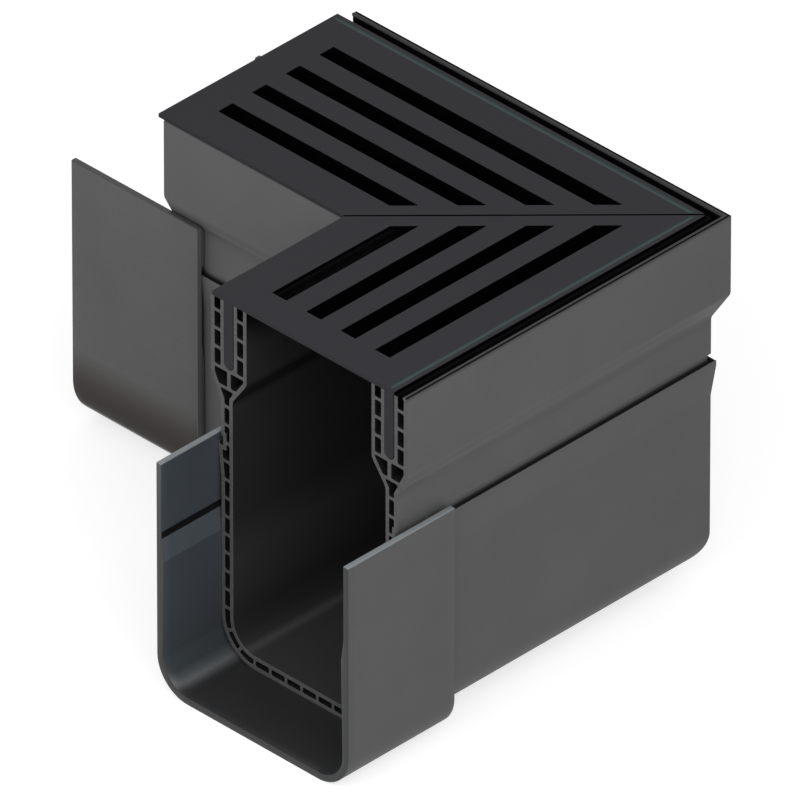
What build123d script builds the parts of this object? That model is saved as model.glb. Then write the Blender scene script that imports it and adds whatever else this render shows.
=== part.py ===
from build123d import *
import math
import os

os.makedirs("parts", exist_ok=True)

# Drain channel corner: two mitred lengths of hollow-chamber channel, a slotted
# grate on each, and a coupling sleeve round each free end.
# Millimetres, +Z up.  The origin is at the middle of the underside.
# The sections are drawn in (u, d): u runs inwards from the outer side of the
# corner and d runs down from the channel's rim.

# Channel
clear_width = 100.0          # between the lower walls
wall = 7.6                   # lower wall and floor, over both skins
step = 6.4                   # how far the lower wall stands in from the wall top's outside
channel_depth = 200.0        # rim to underside
skin = 2.2                   # each skin of the hollow wall
web = 1.75                   # the webs between the chambers
web_pitch = 10.3
first_web = 8.7              # depth of the highest web
centre_web = 2.4             # upright web below the grate's slot
bottom_radius = 22.0         # outside of the rounded floor corners

# Forked wall top with the slot for the grate's leg
leg = 8.4
leg_slot = 6.4
leg_slot_depth = 38.7        # rim to the lowest point of its round bottom
outer_taper = (44.0, 57.0)   # depths between which the outside steps in
inner_taper = (42.6, 55.6)
taper_radius = 6.0
rim_width = 2.8              # top of the outer skin, with its small lip
rim_lip = 1.4

# Snap rib along the outside of each wall
rib_depth = 83.0             # its ledge
rib_toe = 1.0                # height of its upright edge below the ledge
rib_end = 101.0              # where it has run back into the wall
rib_proud = 1.8
rib_lip = 1.6                # the upturned edge
rib_lip_thickness = 0.7
rib_groove = 1.2             # how far the groove above the ledge cuts into the wall
rib_groove_height = 5.2

# Lengths of the two arms, along their outer sides
front_length = 215.0
side_length = 246.0

# Grates
plate_thickness = 2.0
grate_depth = 9.8            # top of the plate to the underside of the thick middle
middle_gap = 1.0             # between the thick middle and each wall top
middle_setback = 9.0         # thick middle, back from the plate's free end
plate_rise = 0.6             # plate top above the rim
plate_inset = 8.2            # on the corner's outer side
plate_lap = 0.6              # back from the wall's face on the inner side
leg_gap = 0.3                # each side of a grate leg in its slot
mitre_gap = 0.7
front_overhang = 0.0
side_overhang = 4.0
slot_width = 9.6
slot_pitch = 22.4
slot_first = 34.4            # first slot's middle from the corner's outer side
slot_count = 4
slot_end_land = 18.6         # plate left at the free end
slot_mitre_land = 12.0       # plate left at the mitre, along the arm
bead_width = 2.4             # shallow line along the plate's outer edge
bead_inset = 2.3
bead_depth = 0.4

# Coupling sleeves
sleeve_wall = 4.8            # lower walls and floor
sleeve_gap = 0.3             # sleeve to channel wall
sleeve_upper_wall = 3.1
recess_bottom = 115.5        # foot of the wide part that clears the rib
recess_line = 3.5            # height of the groove at its foot
recess_line_depth = 1.0
ramp_bottom = 131.0
front_reach = 37.6           # beyond the channel's end
front_overlap = 33.0
front_sleeve_top = 77.0
front_sleeve_radius = 20.0   # outside of its rounded floor corners
side_reach = 62.8
side_overlap = 20.7
side_sleeve_top = 53.5
side_sleeve_radius = 27.1
rail_flat = 2.9              # flat top of the taller sleeve
rail_bottom = 76.0           # below it the wall thins to clear the rib
rail_step = 1.0              # height of the slope at its foot

# Cutting tools start this far outside the solid
cut_above = 5.0
cut_clear = 1.0

# Worked out from the sizes above
channel_width = clear_width + 2 * (wall + step)          # over the two wall tops
fork = 2 * leg + leg_slot
corner_x = (side_length + side_reach) / 2
corner_y = (front_length + front_reach) / 2
rim_z = channel_depth + sleeve_wall
seat = plate_thickness - plate_rise                      # depth of the plate's seat
inner_radius = bottom_radius - wall
slot_middle = leg + leg_slot / 2

# The arm planes: x is u, y is up, and the origin is the outer corner's rim.
front_plane = Plane(origin=(corner_x, corner_y, rim_z), x_dir=(-1, 0, 0), z_dir=(0, 1, 0))
side_plane = Plane(origin=(corner_x, corner_y, rim_z), x_dir=(0, -1, 0), z_dir=(-1, 0, 0))
# The mitre planes face away from the arm that they trim.
mitre_point = (corner_x, corner_y, 0)
front_mitre = Plane(origin=mitre_point, x_dir=(0, 0, 1), z_dir=(-1, 1, 0))
side_mitre = Plane(origin=mitre_point, x_dir=(0, 0, 1), z_dir=(1, -1, 0))


def across(u, far):
    """The same distance from the inner side of the corner when far is True."""
    return channel_width - u if far else u


def near_point(sketch, u, d):
    """The corner of a sketch that lies at (u, d)."""
    return sketch.vertices().sort_by(lambda v: (v.X - u) ** 2 + (v.Y + d) ** 2)[0]


def side_outline(top):
    """Outside and inside corner points of one wall, from the rim to the floor."""
    tip = step - rib_proud
    groove_top = rib_depth - rib_groove_height
    outside = [(0, top), (0, outer_taper[0]), (step, outer_taper[1]),
               (step, groove_top), (step + rib_groove, groove_top),
               (step + rib_groove, rib_depth), (tip + rib_lip_thickness, rib_depth),
               (tip + rib_lip_thickness, rib_depth - rib_lip), (tip, rib_depth - rib_lip),
               (tip, rib_depth + rib_toe), (step, rib_end), (step, channel_depth)]
    inside = [(step + wall, channel_depth - wall), (step + wall, inner_taper[1]),
              (fork, inner_taper[0]), (fork, seat)]
    return outside, inside


# Full outline of the channel: a U with a slot down each wall top.
near_out, near_in = side_outline(0)
far_out, far_in = side_outline(seat)
outline_points = [(u, -d) for u, d in near_out]
outline_points += [(channel_width - u, -d) for u, d in reversed(far_out)]
outline_points += [(channel_width - u, -d) for u, d in reversed(far_in)]
outline_points += [(u, -d) for u, d in near_in]
# The outer side's rim stands up beside the plate, from the middle of its slot outwards.
outline_points += [(slot_middle, -seat), (slot_middle, 0)]

with BuildSketch() as solid_section:
    with BuildLine():
        Polyline(*outline_points, close=True)
    make_face()
    for far in (False, True):
        fillet(near_point(solid_section, across(step, far), channel_depth), bottom_radius)
        fillet(near_point(solid_section, across(step + wall, far), channel_depth - wall),
               inner_radius)
        fillet(near_point(solid_section, across(0, far), outer_taper[0]), taper_radius)
        fillet(near_point(solid_section, across(step, far), outer_taper[1]), taper_radius)
        fillet(near_point(solid_section, across(fork, far), inner_taper[0]), taper_radius)
        fillet(near_point(solid_section, across(step + wall, far), inner_taper[1]),
               taper_radius)
        round_at = leg_slot_depth - leg_slot / 2
        slot_sides = (across(leg, far), across(leg + leg_slot, far))
        with Locations(((slot_sides[0] + slot_sides[1]) / 2, -(round_at - cut_above) / 2)):
            Rectangle(leg_slot, round_at + cut_above, mode=Mode.SUBTRACT)
        with Locations((across(slot_middle, far), -round_at)):
            Circle(leg_slot / 2, mode=Mode.SUBTRACT)

# The space between the skins, cut up by the webs.
mid_radius = bottom_radius - wall / 2
first_floor_web = web_pitch / 2
floor_webs = []
while first_floor_web + len(floor_webs) * web_pitch < channel_width / 2 - step - bottom_radius:
    floor_webs.append(first_floor_web + len(floor_webs) * web_pitch)
arc_start = channel_width / 2 - floor_webs[-1] - web_pitch - step - bottom_radius
wall_web_count = int((channel_depth - bottom_radius - first_web) / web_pitch)
wall_webs = [first_web + n * web_pitch for n in range(wall_web_count)]

with BuildSketch() as chambers:
    add(solid_section.sketch_local)
    offset(amount=-skin, kind=Kind.INTERSECTION, mode=Mode.REPLACE)
    for depth in wall_webs:
        with Locations((channel_width / 2, -depth)):
            Rectangle(channel_width, web, mode=Mode.SUBTRACT)
    for far in (False, True):
        with Locations((across(slot_middle, far),
                        -(wall_webs[3] + wall_webs[4]) / 2)):
            Rectangle(centre_web, web_pitch, mode=Mode.SUBTRACT)
        for place in floor_webs:
            with Locations((channel_width / 2 - place if far else channel_width / 2 + place,
                            -(channel_depth - wall / 2))):
                Rectangle(web, wall, mode=Mode.SUBTRACT)
        # Webs square to the rounded corner
        for n in range(3):
            angle = math.degrees((n * web_pitch - arc_start) / mid_radius)
            if angle < 89:
                turn = math.radians(90 - angle)
                centre_u = step + bottom_radius
                u = centre_u - mid_radius * math.cos(turn)
                d = channel_depth - bottom_radius + mid_radius * math.sin(turn)
                tilt = math.degrees(turn)
                with Locations(Location((across(u, far), -d, 0), (0, 0, -tilt if far else tilt))):
                    Rectangle(wall, web, mode=Mode.SUBTRACT)
        # The top chambers are open upwards
        for side in (0, leg + leg_slot):
            middle = across(side + leg / 2, far)
            low = first_web - 3 * web
            if side or far:
                with Locations((middle, -(low - cut_above) / 2)):
                    Rectangle(leg - 2 * skin, low + cut_above)
    # The outer leg on the corner's outer side: a groove beside the rim's lip
    with Locations(((rim_width + leg + skin / 2) / 2, -(seat - cut_above) / 2)):
        Rectangle(leg + skin / 2 - rim_width, seat + cut_above)
    with Locations((leg / 2, -(rim_lip + first_web - web) / 2)):
        Rectangle(leg - 2 * skin, first_web - web - rim_lip)


def channel_arm(name, plane, mitre, length, direction):
    """One mitred length of channel, run from the corner along its arm."""
    with BuildPart() as arm:
        with BuildSketch(plane):
            add(solid_section.sketch_local)
            add(chambers.sketch_local, mode=Mode.SUBTRACT)
        extrude(amount=direction * length)
        split(bisect_by=mitre, keep=Keep.BOTTOM)
    arm.part.label = name
    export_step(arm.part, f"parts/{name}.step")
    return arm


channel_front = channel_arm("channel_front", front_plane, front_mitre, front_length, -1)
channel_side = channel_arm("channel_side", side_plane, side_mitre, side_length, 1)


# Section of a grate: the plate and its two legs with round ends.
plate_right = channel_width - plate_lap
leg_thickness = leg_slot - 2 * leg_gap
leg_end = leg_slot_depth - leg_gap - leg_thickness / 2

with BuildSketch() as grate_section:
    with Locations(((plate_inset + plate_right) / 2, plate_rise - plate_thickness / 2)):
        Rectangle(plate_right - plate_inset, plate_thickness)
    for far in (False, True):
        with Locations((across(slot_middle, far), -(seat - bead_depth + leg_end) / 2)):
            Rectangle(leg_thickness, leg_end - seat + bead_depth)
        with Locations((across(slot_middle, far), -leg_end)):
            Circle(leg_thickness / 2)
    with Locations((plate_inset + bead_inset + bead_width / 2, plate_rise)):
        Rectangle(bead_width, 2 * bead_depth, mode=Mode.SUBTRACT)


def grate_arm(name, plane, mitre, length, direction, top):
    """One slotted grate length; the slots' ends near the corner follow the mitre."""
    gap_plane = mitre.offset(-mitre_gap / 2)
    with BuildPart() as grate:
        with BuildSketch(plane):
            add(grate_section.sketch_local)
        extrude(amount=direction * length)
        # The thick middle hangs between the wall tops
        with BuildSketch(plane):
            with Locations((channel_width / 2, plate_rise - grate_depth / 2)):
                Rectangle(channel_width - 2 * (fork + middle_gap), grate_depth)
        extrude(amount=direction * (length - middle_setback))
        split(bisect_by=gap_plane, keep=Keep.BOTTOM)
        with BuildSketch(top):
            for n in range(slot_count):
                low = slot_first + n * slot_pitch - slot_width / 2
                high = low + slot_width
                end = length - slot_end_land
                with BuildLine():
                    Polyline((low, low + slot_mitre_land), (high, high + slot_mitre_land),
                             (high, end), (low, end), close=True)
                make_face()
        extrude(amount=-(grate_depth + 2 * cut_clear), mode=Mode.SUBTRACT)
    grate.part.label = name
    export_step(grate.part, f"parts/{name}.step")
    return grate


# Planes for the slots: x is u and y runs from the corner along the arm.  One lies just
# above the grates and is cut downwards, the other just below and is cut upwards.
top_z = rim_z + plate_rise + cut_clear
front_top = Plane(origin=(corner_x, corner_y, top_z), x_dir=(-1, 0, 0), z_dir=(0, 0, 1))

grate_front = grate_arm("grate_front", front_plane, front_mitre,
                        front_length + front_overhang, -1, front_top)
side_cut_low = Plane(origin=(corner_x, corner_y, rim_z + plate_rise - grate_depth - cut_clear),
                     x_dir=(0, -1, 0), z_dir=(0, 0, -1))
grate_side = grate_arm("grate_side", side_plane, side_mitre,
                       side_length + side_overhang, 1, side_cut_low)


def sleeve_arm(name, plane, start, length, direction, top, radius, railed):
    """A U-shaped sleeve: close to the lower wall, wider above it to clear the rib."""
    outer = step - sleeve_gap - sleeve_wall
    close = step - sleeve_gap
    wide = outer + sleeve_upper_wall
    floor = channel_depth
    inside = []
    if railed:
        slant = top + (close - outer - rail_flat) * (outer_taper[1] - outer_taper[0]) / step
        inside += [(outer + rail_flat, top), (close, slant), (close, rail_bottom),
                   (wide, rail_bottom + rail_step)]
    else:
        inside += [(wide, top)]
    inside += [(wide, recess_bottom), (wide - recess_line_depth, recess_bottom),
               (wide - recess_line_depth, recess_bottom + recess_line),
               (wide, recess_bottom + recess_line), (close, ramp_bottom), (close, floor)]
    outside = [(outer, top), (outer, floor + sleeve_wall)]
    points = [(u, -d) for u, d in inside]
    points += [(channel_width - u, -d) for u, d in reversed(inside)]
    points += [(channel_width - u, -d) for u, d in outside]
    points += [(u, -d) for u, d in reversed(outside)]
    with BuildPart() as sleeve:
        with BuildSketch(plane.offset(direction * start)) as profile:
            with BuildLine():
                Polyline(*points, close=True)
            make_face()
            for far in (False, True):
                fillet(near_point(profile, across(close, far), floor), radius - sleeve_wall)
                fillet(near_point(profile, across(outer, far), floor + sleeve_wall), radius)
        extrude(amount=direction * length)
    sleeve.part.label = name
    export_step(sleeve.part, f"parts/{name}.step")
    return sleeve


sleeve_front = sleeve_arm("sleeve_front", front_plane, front_length - front_overlap,
                          front_overlap + front_reach, -1, front_sleeve_top,
                          front_sleeve_radius, False)
sleeve_side = sleeve_arm("sleeve_side", side_plane, side_length - side_overlap,
                         side_overlap + side_reach, 1, side_sleeve_top, side_sleeve_radius, True)
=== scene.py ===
"""Drain channel corner: looks for the two mitred channel lengths, their grates and sleeves."""

import logging
import math
from dataclasses import dataclass, field
from enum import Enum, IntEnum

import bmesh
import bpy
import numpy as np
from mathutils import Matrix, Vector
from mathutils.geometry import tessellate_polygon


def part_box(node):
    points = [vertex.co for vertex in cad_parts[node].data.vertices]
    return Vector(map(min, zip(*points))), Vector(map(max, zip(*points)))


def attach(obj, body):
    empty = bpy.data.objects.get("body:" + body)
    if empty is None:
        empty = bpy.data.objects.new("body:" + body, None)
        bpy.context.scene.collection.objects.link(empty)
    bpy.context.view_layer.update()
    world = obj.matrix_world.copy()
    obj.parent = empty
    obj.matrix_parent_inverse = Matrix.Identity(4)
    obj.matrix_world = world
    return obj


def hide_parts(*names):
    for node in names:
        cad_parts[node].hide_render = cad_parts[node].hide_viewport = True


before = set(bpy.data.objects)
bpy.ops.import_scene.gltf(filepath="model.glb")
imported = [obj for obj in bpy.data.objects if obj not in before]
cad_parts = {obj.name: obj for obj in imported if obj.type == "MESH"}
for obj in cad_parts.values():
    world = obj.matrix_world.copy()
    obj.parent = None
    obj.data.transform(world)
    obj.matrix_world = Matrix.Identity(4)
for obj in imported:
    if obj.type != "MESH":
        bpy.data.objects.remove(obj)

logging.basicConfig(level=logging.INFO, format="%(message)s")
log = logging.getLogger("drain_corner")

MM = 0.001
PICTURE = 800  # pixels along each side of the picture
SENSOR = 36.0  # millimetres, Blender's default sensor width
PVC_IOR = 1.52
COAT_IOR = 1.5

Triple = tuple[float, float, float]


class Arm(Enum):
    """The two arms of the corner, each named for the direction that it runs in."""

    FRONT = "front"
    SIDE = "side"


class ChannelFace(IntEnum):
    """The finishes of a channel length, in the order of its materials."""

    OUTSIDE = 0
    WATERWAY = 1
    CHAMBER = 2
    SAWN = 3
    RIM = 4
    GAP = 5
    GROOVE = 6


class GrateFace(IntEnum):
    """The finishes of a grate, in the order of its materials."""

    COAT = 0
    SHADOW = 1
    LINE = 2


class SleeveFace(IntEnum):
    """The finishes of a sleeve, in the order of its materials."""

    OUTSIDE = 0
    INSIDE = 1
    LINE = 2
    TOP = 3
    RAMP = 4
    END = 5
    INSIDE_PAINTED_SHADE = 6
    END_SHADED = 7


# Colours and nodes


def colour(hex_code: str) -> tuple[float, float, float, float]:
    """Turn an sRGB hex colour to linear light.

    Args:
        hex_code: Six hex digits after a hash sign.

    Returns:
        Linear red, green, blue and an alpha of 1.
    """
    srgb = np.array([int(hex_code[i : i + 2], 16) for i in (1, 3, 5)]) / 255
    linear = np.where(srgb <= 0.04045, srgb / 12.92, ((srgb + 0.055) / 1.055) ** 2.4)
    return (*(float(c) for c in linear), 1.0)


def add_node(
    tree: bpy.types.NodeTree, kind: str, inputs: dict | None = None, **settings: str
) -> bpy.types.Node:
    """Add one node, set it and link it.

    Args:
        tree: The node tree that gets it.
        kind: Blender's name for the node type.
        inputs: Socket names or numbers, each with a value or the socket that feeds it.
        **settings: Attributes of the node and their values.

    Returns:
        The new node.
    """
    node = tree.nodes.new(kind)
    for name, value in settings.items():
        setattr(node, name, value)
    for name, value in (inputs or {}).items():
        if isinstance(value, bpy.types.NodeSocket):
            tree.links.new(value, node.inputs[name])
        else:
            node.inputs[name].default_value = value
    return node


def empty_material(name: str) -> tuple[bpy.types.Material, bpy.types.NodeTree]:
    """Make a material without nodes.

    Args:
        name: The material's name.

    Returns:
        The material and its empty node tree.
    """
    made = bpy.data.materials.new(name)
    made.use_nodes = True
    made.node_tree.nodes.clear()
    return made, made.node_tree


def add_surface(
    tree: bpy.types.NodeTree,
    tone: bpy.types.NodeSocket | tuple[float, float, float, float],
    relief: bpy.types.NodeSocket,
    depth: float,
    strength: float,
    roughness: float,
    ior: float,
    shine: float,
) -> None:
    """End a finish's tree with its surface and the fine relief on it.

    Args:
        tree: The finish's node tree.
        tone: Its colour, or the socket that carries it.
        relief: The socket that carries the relief's height, from 0 to 1.
        depth: Depth of the relief in millimetres.
        strength: How far the relief turns the light, from 0 to 1.
        roughness: Roughness of the surface.
        ior: Its index of refraction.
        shine: How much of the plain reflection it keeps, where 0.5 is all of it.
    """
    bump = add_node(
        tree, "ShaderNodeBump", {"Height": relief, "Distance": depth * MM, "Strength": strength}
    )
    surface = add_node(
        tree,
        "ShaderNodeBsdfPrincipled",
        {
            "Base Color": tone,
            "Roughness": roughness,
            "IOR": ior,
            "Specular IOR Level": shine,
            "Normal": bump.outputs["Normal"],
        },
    )
    add_node(tree, "ShaderNodeOutputMaterial", {"Surface": surface.outputs[0]})


def seen_directly(tree: bpy.types.NodeTree) -> bpy.types.NodeSocket:
    """A mask of 1 for camera, glossy and transmission rays and 0 for the light on the part.

    Args:
        tree: The node tree that gets it.

    Returns:
        The socket that carries the mask.
    """
    path = add_node(tree, "ShaderNodeLightPath").outputs
    mask = path["Is Camera Ray"]
    for kind in ("Is Glossy Ray", "Is Transmission Ray"):
        either = add_node(tree, "ShaderNodeMath", {0: mask, 1: path[kind]}, operation="MAXIMUM")
        mask = either.outputs[0]
    return mask


# Finishes


@dataclass(frozen=True)
class ExtrudedPvc:
    """Hard PVC as it leaves the die or the mould: matt, with a fine grain and faint lines.

    The grain gives the broken, dry look of the walls; the lines, which follow the run of the
    profile, show only at a low light.
    """

    name: str
    base: str
    shade: str
    roughness: float = 0.55
    shine: float = 0.3
    run: Arm = Arm.FRONT
    heights: tuple[tuple[float, str], ...] = ()  # mm above the ground, "" for the plain tone
    cloud_mm: float = 60.0
    grain_mm: float = 0.9
    grain_depth: float = 0.05
    grain_share: float = 0.55
    line_mm: float = 2.2
    line_share: float = 0.15
    line_stretch: float = 0.02

    def make(self) -> bpy.types.Material:
        """Build the material.

        Returns:
            The finished material.
        """
        made, tree = empty_material(self.name)
        where = add_node(tree, "ShaderNodeTexCoord").outputs["Object"]
        grain = add_node(
            tree,
            "ShaderNodeTexNoise",
            {"Vector": where, "Scale": 1 / (self.grain_mm * MM), "Detail": 2.0},
        ).outputs["Fac"]
        tone = self.plain_tone(tree, where, grain)
        if self.heights:
            tone = self.tone_by_height(tree, where, tone)
        add_surface(
            tree, tone, grain, depth=self.grain_depth, strength=0.6,
            roughness=self.roughness, ior=PVC_IOR, shine=self.shine,
        )
        return made

    def plain_tone(
        self,
        tree: bpy.types.NodeTree,
        where: bpy.types.NodeSocket,
        grain: bpy.types.NodeSocket,
    ) -> bpy.types.NodeSocket:
        """Mix the two tones by slow clouds, the grain and the lines along the run.

        Args:
            tree: The material's node tree.
            where: The socket that carries the place on the piece.
            grain: The socket that carries the grain.

        Returns:
            The socket that carries the tone.
        """
        # Slow changes of tone, a hand wide, as in any long extrusion
        cloud = add_node(
            tree,
            "ShaderNodeTexNoise",
            {"Vector": where, "Scale": 1 / (self.cloud_mm * MM), "Detail": 3.0},
        )
        run = self.line_stretch
        scale = (1.0, run, 1.0) if self.run is Arm.FRONT else (run, 1.0, 1.0)
        along = add_node(tree, "ShaderNodeMapping", {"Vector": where, "Scale": scale})
        lines = add_node(
            tree,
            "ShaderNodeTexNoise",
            {"Vector": along.outputs[0], "Scale": 1 / (self.line_mm * MM), "Detail": 2.0},
        )
        mixed = cloud.outputs["Fac"]
        for pattern, share in (
            (grain, self.grain_share),
            (lines.outputs["Fac"], self.line_share),
        ):
            mixed = add_node(
                tree, "ShaderNodeMath", {0: pattern, 1: share, 2: mixed}, operation="MULTIPLY_ADD"
            ).outputs[0]
        # The sum stays between these two, and they spread it over both tones
        level = add_node(
            tree, "ShaderNodeMapRange", {"Value": mixed, "From Min": 0.5, "From Max": 1.2}
        )
        tone = add_node(
            tree,
            "ShaderNodeMix",
            {0: level.outputs[0], 6: colour(self.shade), 7: colour(self.base)},
            data_type="RGBA",
        )
        return tone.outputs[2]

    def tone_by_height(
        self,
        tree: bpy.types.NodeTree,
        where: bpy.types.NodeSocket,
        plain: bpy.types.NodeSocket,
    ) -> bpy.types.NodeSocket:
        """Lay other tones over the plain one by height, as the painted light and shade round the
        floor corners.

        Args:
            tree: The material's node tree.
            where: The socket that carries the place on the piece.
            plain: The socket that carries the plain tone.

        Returns:
            The socket that carries the tone.
        """
        top = self.heights[-1][0]
        axes = add_node(tree, "ShaderNodeSeparateXYZ", {"Vector": where})
        height = add_node(
            tree, "ShaderNodeMapRange", {"Value": axes.outputs["Z"], "From Max": top * MM}
        )
        ramp = add_node(tree, "ShaderNodeValToRGB", {"Fac": height.outputs[0]})
        stops = ramp.color_ramp.elements
        while len(stops) < len(self.heights):
            stops.new(1.0)
        shown = next(code for _, code in self.heights if code)
        for stop, (at, code) in zip(stops, self.heights):
            # A stop with no tone of its own is clear and keeps the colour beside it
            shown = code or shown
            stop.position = at / top
            stop.color = (*colour(shown)[:3], 1.0 if code else 0.0)
        blend = add_node(
            tree,
            "ShaderNodeMix",
            {0: ramp.outputs["Alpha"], 6: plain, 7: ramp.outputs["Color"]},
            data_type="RGBA",
        )
        return blend.outputs[2]


@dataclass(frozen=True)
class SawnPvc:
    """PVC cut across with a fine saw: a shade duller, with straight tooth marks."""

    name: str
    base: str
    shade: str
    tooth_mm: float = 1.1
    tooth_depth: float = 0.04
    tooth_stretch: float = 0.05
    lean: float = 12.0  # degrees
    roughness: float = 0.62
    shine: float = 0.3

    def make(self) -> bpy.types.Material:
        """Build the material.

        Returns:
            The finished material.
        """
        made, tree = empty_material(self.name)
        where = add_node(tree, "ShaderNodeTexCoord").outputs["Object"]
        # The blade came down at a slant, so the marks lean
        lean = math.radians(self.lean)
        turned = add_node(
            tree,
            "ShaderNodeMapping",
            {
                "Vector": where,
                "Rotation": (0.0, lean, lean),
                "Scale": (self.tooth_stretch, self.tooth_stretch, 1.0),
            },
        )
        marks = add_node(
            tree,
            "ShaderNodeTexNoise",
            {"Vector": turned.outputs[0], "Scale": 1 / (self.tooth_mm * MM), "Detail": 3.0},
        ).outputs["Fac"]
        ramp = add_node(tree, "ShaderNodeValToRGB", {"Fac": marks})
        stops = ramp.color_ramp.elements
        for stop, at, code in zip(stops, (0.35, 0.65), (self.shade, self.base)):
            stop.position = at
            stop.color = colour(code)
        add_surface(
            tree, ramp.outputs["Color"], marks, depth=self.tooth_depth, strength=0.5,
            roughness=self.roughness, ior=PVC_IOR, shine=self.shine,
        )
        return made


@dataclass(frozen=True)
class PowderCoat:
    """Baked powder coat on metal: matt, with the faint ripple of the melted powder."""

    name: str
    base: str
    roughness: float
    shine: float = 0.12
    ripple_mm: float = 1.4
    ripple_depth: float = 0.02

    def make(self) -> bpy.types.Material:
        """Build the material.

        Returns:
            The finished material.
        """
        made, tree = empty_material(self.name)
        where = add_node(tree, "ShaderNodeTexCoord").outputs["Object"]
        ripple = add_node(
            tree,
            "ShaderNodeTexNoise",
            {"Vector": where, "Scale": 1 / (self.ripple_mm * MM), "Detail": 2.0},
        ).outputs["Fac"]
        add_surface(
            tree, colour(self.base), ripple, depth=self.ripple_depth, strength=0.5,
            roughness=self.roughness, ior=COAT_IOR, shine=self.shine,
        )
        return made


@dataclass(frozen=True)
class StudioFloor:
    """Matt white floor that shows white to the camera and keeps the object's shadow."""

    name: str = "matt_white_floor"
    base: str = "#bebebe"
    lift: float = 0.7

    def make(self) -> bpy.types.Material:
        """Build the material.

        Returns:
            The finished material.
        """
        made, tree = empty_material(self.name)
        level = add_node(
            tree, "ShaderNodeMath", {0: seen_directly(tree), 1: self.lift}, operation="MULTIPLY"
        )
        paint = add_node(tree, "ShaderNodeBsdfDiffuse", {"Color": colour(self.base)})
        glow = add_node(tree, "ShaderNodeEmission", {"Strength": level.outputs[0]})
        both = add_node(tree, "ShaderNodeAddShader", {0: paint.outputs[0], 1: glow.outputs[0]})
        add_node(tree, "ShaderNodeOutputMaterial", {"Surface": both.outputs[0]})
        return made


# Profiles


def rounded(corners: np.ndarray) -> np.ndarray:
    """Replace each corner of a closed outline with an arc.

    At a corner P, with unit vectors a and b to its neighbours and half the angle between
    them h, the arc starts at P + a r / tan(h), its centre is P + (a + b) / |a + b| r / sin(h),
    and its points turn evenly from the start to P + b r / tan(h). One more point on each of
    the two sides, close to the arc, keeps the shading of the flats flat.

    Args:
        corners: One row for each corner: x, y and radius r.

    Returns:
        The points of the rounded outline, one row each.
    """
    least_radius = 0.05
    most_of_side = 0.48  # an arc takes no more of the shorter side beside it
    fineness, fewest, most = 2.2, 3, 22  # points in an arc
    beside_most, beside_share = 0.4, 0.015  # from the arc to the point beside it
    p, r = corners[:, :2], np.maximum(corners[:, 2], least_radius)
    a = np.roll(p, 1, axis=0) - p
    b = np.roll(p, -1, axis=0) - p
    length_a, length_b = np.linalg.norm(a, axis=1), np.linalg.norm(b, axis=1)
    shorter = np.minimum(length_a, length_b)
    a, b = a / length_a[:, None], b / length_b[:, None]
    half = np.arccos(np.clip((a * b).sum(1), -1, 1)) / 2
    half = np.minimum(half, math.radians(89.9))
    r = np.minimum(r, most_of_side * shorter * np.tan(half))
    middle = a + b
    middle = middle / np.maximum(np.linalg.norm(middle, axis=1), 1e-9)[:, None]
    centre = p + middle * (r / np.sin(half))[:, None]
    start = p + a * (r / np.tan(half))[:, None] - centre
    end = p + b * (r / np.tan(half))[:, None] - centre
    sweep = np.pi - 2 * half
    count = np.clip(2 + np.ceil(sweep * np.sqrt(r) * fineness).astype(int), fewest, most)
    total = count + 2
    which = np.repeat(np.arange(len(p)), total)
    step = np.arange(total.sum()) - np.repeat(np.cumsum(total) - total, total) - 1
    k = np.clip(step / (count[which] - 1), 0, 1)
    s = sweep[which]
    arc = (
        np.sin((1 - k) * s)[:, None] * start[which] + np.sin(k * s)[:, None] * end[which]
    ) / np.sin(s)[:, None]
    beside = np.minimum(beside_most, beside_share * shorter)[which]
    arc += (beside * (step < 0))[:, None] * a[which]
    arc += (beside * (step == count[which]))[:, None] * b[which]
    return centre[which] + arc


def wound(points: np.ndarray, hole: bool = False) -> np.ndarray:
    """Wind an outline so that the solid lies on its left.

    Args:
        points: The outline's points.
        hole: True where the solid lies outside it.

    Returns:
        The points, turned round where needed.
    """
    x, y = points.T
    area = (x * np.roll(y, -1) - np.roll(x, -1) * y).sum()
    return points[::-1] if (area < 0) != hole else points


def inset(points: np.ndarray, distance: float | np.ndarray) -> np.ndarray:
    """Move an outline into its solid by a small distance.

    Each point moves along the mean of its two edges' left normals, divided by the cosine of
    half the turn, and by at most 1.6 times the distance.

    Args:
        points: The outline, with the solid on its left.
        distance: How far its edges move, or one distance for each point.

    Returns:
        The moved points.
    """
    least_cosine = 0.62
    forward = np.roll(points, -1, axis=0) - points
    length = np.maximum(np.linalg.norm(forward, axis=1), 1e-9)
    normal = np.stack([-forward[:, 1], forward[:, 0]], axis=1) / length[:, None]
    mean = normal + np.roll(normal, 1, axis=0)
    size = np.maximum(np.linalg.norm(mean, axis=1), 1e-9)
    cosine = np.maximum(size / 2, least_cosine)
    return points + mean / size[:, None] * (distance / cosine)[:, None]


def strip_middles(loop: np.ndarray) -> np.ndarray:
    """The middle of each strip between one point of a loop and the next."""
    return (loop + np.roll(loop, -1, axis=0)) / 2


def other_wall(corners: list[Triple], width: float) -> list[Triple]:
    """A wall's corners (u, d, radius) on the opposite wall, in reverse."""
    return [(width - u, d, r) for u, d, r in reversed(corners)]


def drawn_section(corners: list[Triple]) -> np.ndarray:
    """Draw a section: turn its depths upwards, round its corners and wind it.

    Args:
        corners: Its corners as (u, d, radius).

    Returns:
        Its points in (u, -d).
    """
    points = np.array(corners, dtype=float)
    points[:, 1] *= -1
    return wound(rounded(points))


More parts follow.
